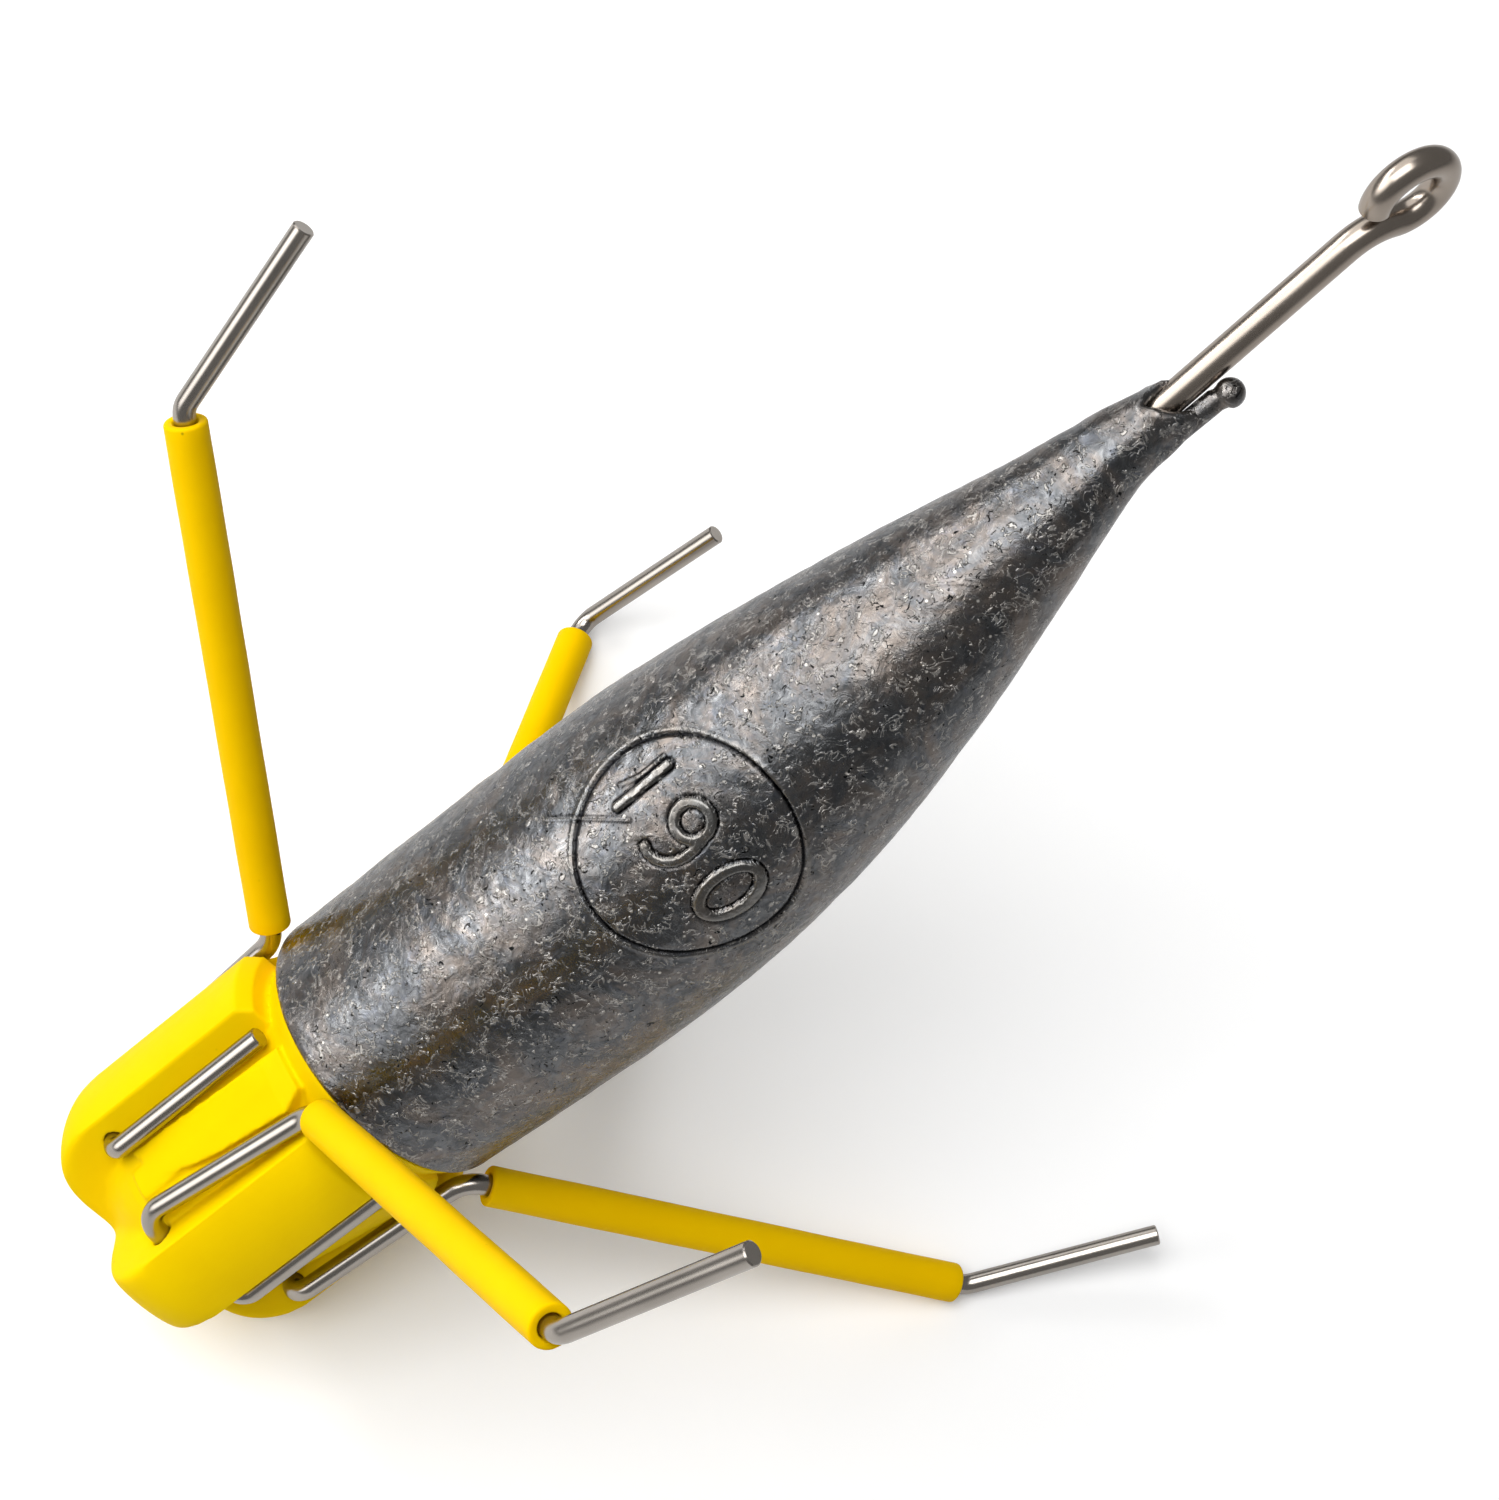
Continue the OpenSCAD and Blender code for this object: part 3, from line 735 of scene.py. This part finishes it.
def run_way(k, turn_back=0):
    """The way in which a grip wire runs out under its sleeve, or turned back at its tip."""
    splay, aside = math.radians(SPLAY[k] - turn_back), math.radians(LEAN[k])
    return Vector((math.sin(splay) * math.cos(aside), math.sin(splay) * math.sin(aside),
                   math.cos(splay)))


def wire_line(k):
    """The corners of a grip wire, from the end of its free leg to its tip."""
    elbow = SHOULDER + RUN_LEN * run_way(k)
    return [Vector((PIN_R, FREE_SIDE, PIN_Z + FREE_LEG)), Vector((PIN_R, FREE_SIDE, PIN_Z)),
            Vector((PIN_R, -LONG_SIDE, PIN_Z)), SHOULDER, elbow,
            elbow + TIP_LEN * run_way(k, TIP_TURN[k])]


def bend_take(line, i, radius):
    """How much of a straight run the bend at a corner takes up."""
    a, b = line[i] - line[i - 1], line[i + 1] - line[i]
    return radius * math.tan(a.angle(b) / 2)


def sleeve(k, line):
    """A plastic tube with softly rounded ends over the run of a grip wire."""
    start = bend_take(line, 3, WIRE_BENDS[2]) + SLEEVE_PLAY
    end = RUN_LEN - bend_take(line, 4, WIRE_BENDS[3]) - SLEEVE_PLAY
    outer, bore, soft = SLEEVE_D / 2, BORE_D / 2, 0.2
    curve = [math.radians(a) for a in (0, 30, 60, 90)]
    low = [(outer - soft + soft * math.sin(a), soft - soft * math.cos(a)) for a in curve]
    high = [(r, end - start - z) for r, z in reversed(low)]
    long = end - start
    middle = [(outer, soft + (long - 2 * soft) * i / 40) for i in range(1, 40)]
    bevel = 0.1
    profile = [(bore, bevel), (bore + bevel, 0)] + low + middle + high
    profile += [(bore + bevel, long), (bore, long - bevel)]
    tube = turned("sleeve_tube_%d" % (k + 1), profile, 48, closed=True)
    for vertex in tube.data.vertices:
        p = vertex.co / MM
        out = Vector((p.x, p.y, 0))
        # only the outside is a little uneven, and the bore stays round
        if out.length > (outer + bore) / 2:
            vertex.co += out.normalized() * 0.03 * noise.noise(p / 5 + Vector((0, 0, 7 * k))) * MM
    way = run_way(k)
    set_place(tube, Matrix.Translation((SHOULDER + way * start) * MM)
              @ way.to_track_quat("Z", "Y").to_matrix().to_4x4())
    return tube


for k in range(4):
    at_lobe = LAY @ turn_z(45 + 90 * k)
    line = wire_line(k)
    wire = bent_wire("spring_wire_%d" % (k + 1), line, WIRE_BENDS, WIRE_D)
    set_place(wire, at_lobe)
    smooth(wire)
    dress(wire, GRIP_STEEL, "arm_%d" % (k + 1), "stainless_wire", "grip_wire_%d" % (k + 1))
    tube = sleeve(k, line)
    set_place(tube, at_lobe)
    smooth(tube, 50)
    dress(tube, SLEEVE_PLASTIC, "sleeve_%d" % (k + 1), "yellow_plastic", "wire_sleeve_%d" % (k + 1))


# the floor's side in metres
FLOOR_SIZE = 4
# the paper sends back this share of the lamps' light, and looks this pale to the camera
PAPER, PAPER_SEEN = (0.8, 0.8, 0.8, 1), (0.95, 0.95, 0.95, 1)


def floor():
    """A plain sheet of pale paper, on which the sinker lies."""
    plane = new_primitive(bpy.ops.mesh.primitive_plane_add, "floor", size=FLOOR_SIZE)
    material = bpy.data.materials.new("pale_floor")
    material.use_nodes = True
    tree = material.node_tree
    tree.nodes.clear()
    ray = add(tree, "LightPath")
    seen = ray.outputs["Is Camera Ray"]
    tone = blend(tree, "MIX", seen, PAPER, PAPER_SEEN)
    paper = add(tree, "BsdfDiffuse", None, {"Color": tone}).outputs[0]
    # for the camera the paper glows a little, and turns white towards the horizon
    place = add(tree, "TexCoord").outputs["Object"]
    away = add(tree, "VectorMath", {"operation": "LENGTH"}, {0: place}).outputs["Value"]
    lift = ramp(tree, away, [(0.16, 0.12), (0.45, 0.95)])
    lift = times(tree, lift, seen)
    glow = add(tree, "Emission", None, {"Color": (1, 1, 1, 1), "Strength": lift}).outputs[0]
    both = add(tree, "AddShader", None, {0: paper, 1: glow}).outputs[0]
    add(tree, "OutputMaterial", None, {"Surface": both})
    plane.data.materials.append(material)


# the direction of the pale panel from the sinker
PANEL_WAY = (-0.85, 0.17, 0.5)
# the point that the lamps are turned to, in metres
AIM = (0, 0, 0.03)


def lamp(name, place, size, power):
    """A soft box at a place in metres, with its two sides in metres and its power in watts."""
    data = bpy.data.lights.new(name, "AREA")
    data.shape = "RECTANGLE"
    data.size, data.size_y = size
    data.energy = power
    made = bpy.data.objects.new(name, data)
    bpy.context.scene.collection.objects.link(made)
    made.location = place
    made.rotation_euler = (Vector(AIM) - Vector(place)).to_track_quat("-Z", "Y").to_euler()


def world(grey, panel):
    """A dim grey room that is white to the camera. Shiny surfaces also see a pale panel on its left."""
    made = bpy.data.worlds.new("studio")
    bpy.context.scene.world = made
    made.use_nodes = True
    tree = made.node_tree
    way = add(tree, "TexCoord").outputs["Generated"]
    near = add(tree, "VectorMath", {"operation": "DOT_PRODUCT"}, {0: way, 1: PANEL_WAY})
    glow = ramp(tree, near.outputs["Value"], [(0.88, 0.035), (0.97, 1)])
    ray = add(tree, "LightPath")
    glow = times(tree, glow, ray.outputs["Is Glossy Ray"])
    level = add(tree, "Math", {"operation": "MULTIPLY_ADD"}, {0: glow, 1: panel, 2: grey}).outputs[0]
    seen = ray.outputs["Is Camera Ray"]
    level = add(tree, "Math", {"operation": "MAXIMUM"}, {0: level, 1: seen}).outputs[0]
    back = tree.nodes["Background"]
    back.inputs["Color"].default_value = (1, 1, 1, 1)
    tree.links.new(level, back.inputs["Strength"])


# the camera as fitted to the photograph: its place in millimetres, its ways, its focal length and the
# width of the picture in pixels, and the width of its sensor in millimetres
CAMERA_PLACE = (-57.07, -70.09, 243.03)
CAMERA_RIGHT = Vector((0.86881, -0.48784, 0.08479))
CAMERA_DOWN = Vector((-0.41716, -0.81339, -0.40543))
CAMERA_AHEAD = Vector((0.26675, 0.31687, -0.91019))
FOCAL_PIXELS, PHOTO_WIDTH = 3368, 1499
SENSOR = 36


def camera():
    """The camera stands where the photograph was taken from."""
    data = bpy.data.cameras.new("camera")
    made = bpy.data.objects.new("camera", data)
    bpy.context.scene.collection.objects.link(made)
    ways = Matrix((CAMERA_RIGHT, -CAMERA_DOWN, -CAMERA_AHEAD)).transposed().to_4x4()
    made.matrix_world = Matrix.Translation(Vector(CAMERA_PLACE) * MM) @ ways
    data.sensor_fit = "HORIZONTAL"
    data.sensor_width = SENSOR
    data.lens = FOCAL_PIXELS / PHOTO_WIDTH * SENSOR
    data.clip_start = 0.01
    bpy.context.scene.camera = made


floor()
# where each soft box stands and how large it is, in metres, and its power in watts
lamp("strip", (-0.33, 0.33, 0.33), (0.60, 0.09), 1.6)
lamp("back", (-0.05, 0.42, 0.50), (0.5, 0.5), 1.1)
lamp("top", (-0.14, 0.0, 0.58), (0.42, 0.42), 2.7)
# the grey of the room and the strength of the panel
world(0.12, 3.2)
camera()
bpy.context.scene.view_settings.view_transform = "Standard"
